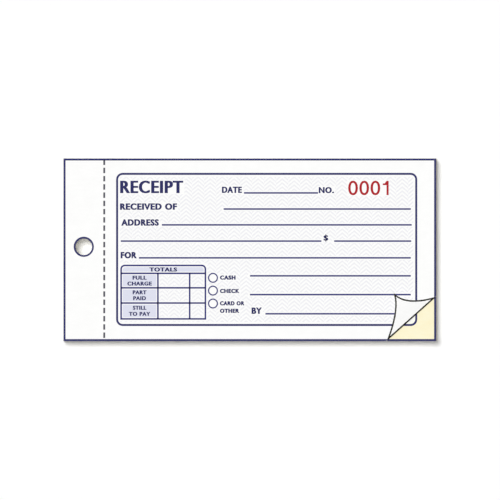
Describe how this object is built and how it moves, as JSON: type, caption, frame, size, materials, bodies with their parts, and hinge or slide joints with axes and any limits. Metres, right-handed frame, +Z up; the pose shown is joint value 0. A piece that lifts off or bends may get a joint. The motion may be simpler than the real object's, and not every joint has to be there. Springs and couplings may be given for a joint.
{
  "type": "duplicate receipt book",
  "caption": "Small book of two-part tear-off receipt forms bound at a punched stub, with a curled top corner and a wrap-round card cover folded under.",
  "frame": {"origin": "bottom centre of the whole book, on the face it rests on", "axes": "+X from the bound stub to the fore edge, +Y to the head of the forms, +Z up through the sheets"},
  "size_m": [0.1434, 0.0698, 0.0128],
  "materials": {
    "white_paper": "white carbonless bond, uncoated look",
    "canary_paper": "canary carbonless bond, uncoated look",
    "card": "pale grey-white cover card",
    "padding_glue": "dried white padding compound"
  },
  "bodies": {
    "book_block": {"back_cover": "card", "spine_glue": "padding_glue", "bound_stubs": "white_paper", "resting_duplicates": "canary_paper", "resting_originals": "white_paper", "original_stub_1": "white_paper", "duplicate_stub_1": "canary_paper", "original_stub_2": "white_paper", "duplicate_stub_2": "canary_paper", "original_stub_3": "white_paper", "duplicate_stub_3": "canary_paper", "original_stub_4": "white_paper", "duplicate_stub_4": "canary_paper", "original_stub_5": "white_paper", "duplicate_stub_5": "canary_paper"},
    "duplicate_form_5": {"duplicate_form_5": "canary_paper"},
    "original_form_5": {"original_form_5": "white_paper"},
    "duplicate_form_4": {"duplicate_form_4": "canary_paper"},
    "original_form_4": {"original_form_4": "white_paper"},
    "duplicate_form_3": {"duplicate_form_3": "canary_paper"},
    "original_form_3": {"original_form_3": "white_paper"},
    "duplicate_form_2": {"duplicate_form_2": "canary_paper"},
    "original_form_2": {"original_form_2": "white_paper"},
    "duplicate_form_1": {"duplicate_form_1": "canary_paper"},
    "original_form_1": {"original_form_1": "white_paper"},
    "cover_fore_edge": {"cover_fore_edge": "card"},
    "cover_flap": {"cover_flap": "card"}
  },
  "joints": [
    {"name": "duplicate_turn_5", "type": "hinge", "parent": "book_block", "child": "duplicate_form_5", "pos_m": [-0.0559, 0, 0.0108], "axis": [0, -1, 0], "range_deg": [0, 180]},
    {"name": "original_turn_5", "type": "hinge", "parent": "duplicate_form_5", "child": "original_form_5", "pos_m": [-0.0559, 0, 0.0108], "axis": [0, -1, 0], "range_deg": [0, 180]},
    {"name": "duplicate_turn_4", "type": "hinge", "parent": "original_form_5", "child": "duplicate_form_4", "pos_m": [-0.0559, 0, 0.0108], "axis": [0, -1, 0], "range_deg": [0, 180]},
    {"name": "original_turn_4", "type": "hinge", "parent": "duplicate_form_4", "child": "original_form_4", "pos_m": [-0.0559, 0, 0.0108], "axis": [0, -1, 0], "range_deg": [0, 180]},
    {"name": "duplicate_turn_3", "type": "hinge", "parent": "original_form_4", "child": "duplicate_form_3", "pos_m": [-0.0559, 0, 0.0108], "axis": [0, -1, 0], "range_deg": [0, 180]},
    {"name": "original_turn_3", "type": "hinge", "parent": "duplicate_form_3", "child": "original_form_3", "pos_m": [-0.0559, 0, 0.0108], "axis": [0, -1, 0], "range_deg": [0, 180]},
    {"name": "duplicate_turn_2", "type": "hinge", "parent": "original_form_3", "child": "duplicate_form_2", "pos_m": [-0.0559, 0, 0.0108], "axis": [0, -1, 0], "range_deg": [0, 180]},
    {"name": "original_turn_2", "type": "hinge", "parent": "duplicate_form_2", "child": "original_form_2", "pos_m": [-0.0559, 0, 0.0108], "axis": [0, -1, 0], "range_deg": [0, 180]},
    {"name": "duplicate_turn_1", "type": "hinge", "parent": "original_form_2", "child": "duplicate_form_1", "pos_m": [-0.0559, 0, 0.0108], "axis": [0, -1, 0], "range_deg": [0, 180]},
    {"name": "original_turn_1", "type": "hinge", "parent": "duplicate_form_1", "child": "original_form_1", "pos_m": [-0.0559, 0, 0.0108], "axis": [0, -1, 0], "range_deg": [0, 180]},
    {"name": "cover_wrap", "type": "hinge", "parent": "book_block", "child": "cover_fore_edge", "pos_m": [0.0717, 0, 0.0004], "axis": [0, -1, 0], "range_deg": [0, 270]},
    {"name": "flap_fold", "type": "hinge", "parent": "cover_fore_edge", "child": "cover_flap", "pos_m": [0.0603, 0, 0], "axis": [0, -1, 0], "range_deg": [0, 45]}
  ]
}
